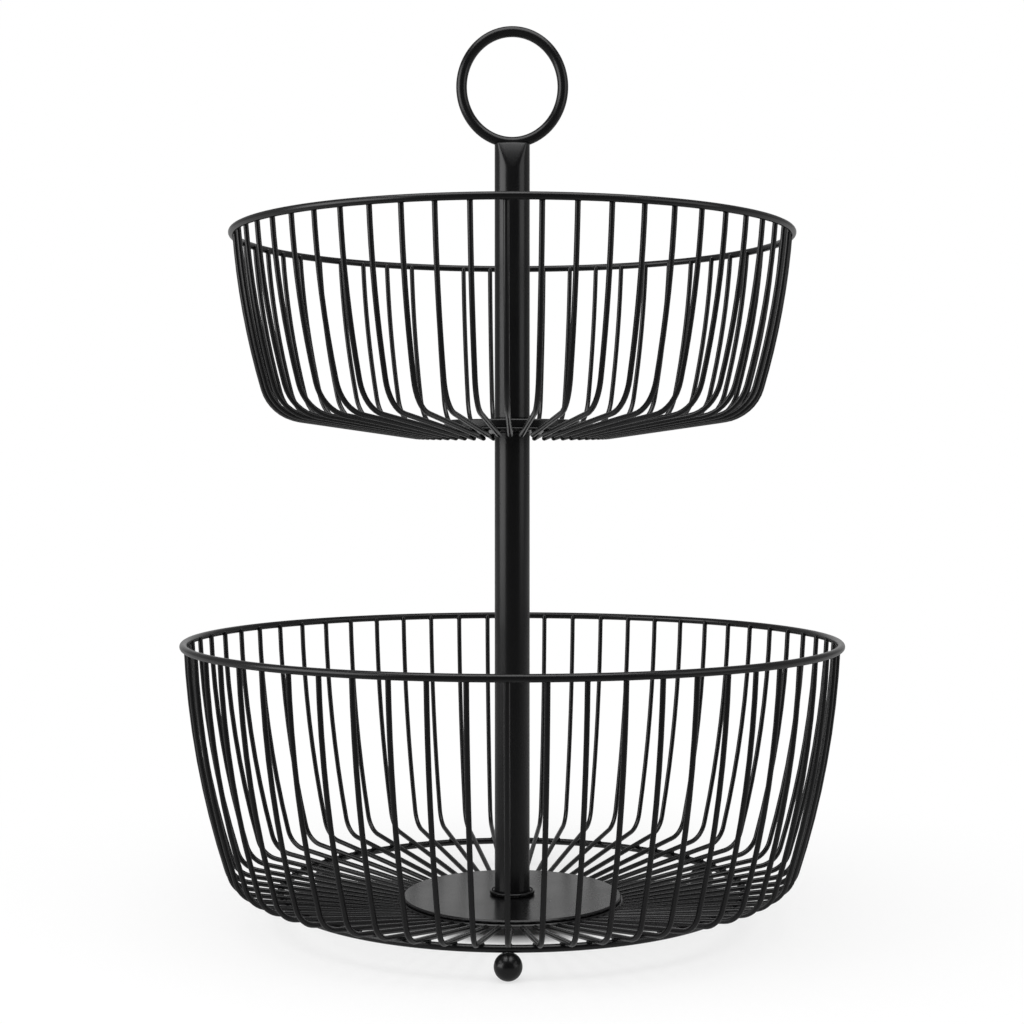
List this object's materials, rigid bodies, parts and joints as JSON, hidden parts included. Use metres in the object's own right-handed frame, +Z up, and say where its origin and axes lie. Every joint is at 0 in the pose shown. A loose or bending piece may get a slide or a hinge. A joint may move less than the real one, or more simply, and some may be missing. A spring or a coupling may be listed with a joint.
{
  "type": "tiered wire basket",
  "caption": "Freestanding black wire fruit stand: a wide lower basket on ball feet, a smaller upper basket on a central post, and an oval carrying ring.",
  "frame": {"origin": "on the floor under the middle of the post", "axes": "+Z up along the post, the front foot towards -Y, the ring handle's width along X"},
  "size_m": [0.2994, 0.2994, 0.4058],
  "materials": {
    "black_powder_coat": "satin powder coat",
    "zinc_plated_steel": "zinc plated"
  },
  "bodies": {
    "stand": {"lower_rim": "black_powder_coat", "upper_rim": "black_powder_coat", "base_ring": "black_powder_coat", "lower_ribs": "black_powder_coat", "upper_ribs": "black_powder_coat", "ball_feet": "black_powder_coat", "lower_plate": "black_powder_coat", "upper_plate": "black_powder_coat", "upper_hub": "black_powder_coat", "post_collar": "black_powder_coat", "lower_post": "black_powder_coat", "base_washer": "zinc_plated_steel", "base_screw": "zinc_plated_steel", "joining_stud": "zinc_plated_steel", "lower_post_bottom_insert": "zinc_plated_steel", "lower_post_top_insert": "zinc_plated_steel"},
    "lifting_washer": {"post_washer": "black_powder_coat"},
    "top_post": {"upper_post": "black_powder_coat", "upper_post_insert": "zinc_plated_steel", "ring_handle": "black_powder_coat"}
  },
  "joints": [
    {"name": "post_lift", "type": "slide", "parent": "stand", "child": "lifting_washer", "axis": [0, 0, 1], "range_m": [0, 0.015]},
    {"name": "post_turn", "type": "hinge", "parent": "lifting_washer", "child": "top_post", "pos_m": [0, 0, 0.22764], "axis": [0, 0, 1], "range_deg": [0, 5400]}
  ],
  "couplings": [
    {"joint": "post_turn", "follows": "post_lift", "rad_per_m": 6283.2}
  ]
}
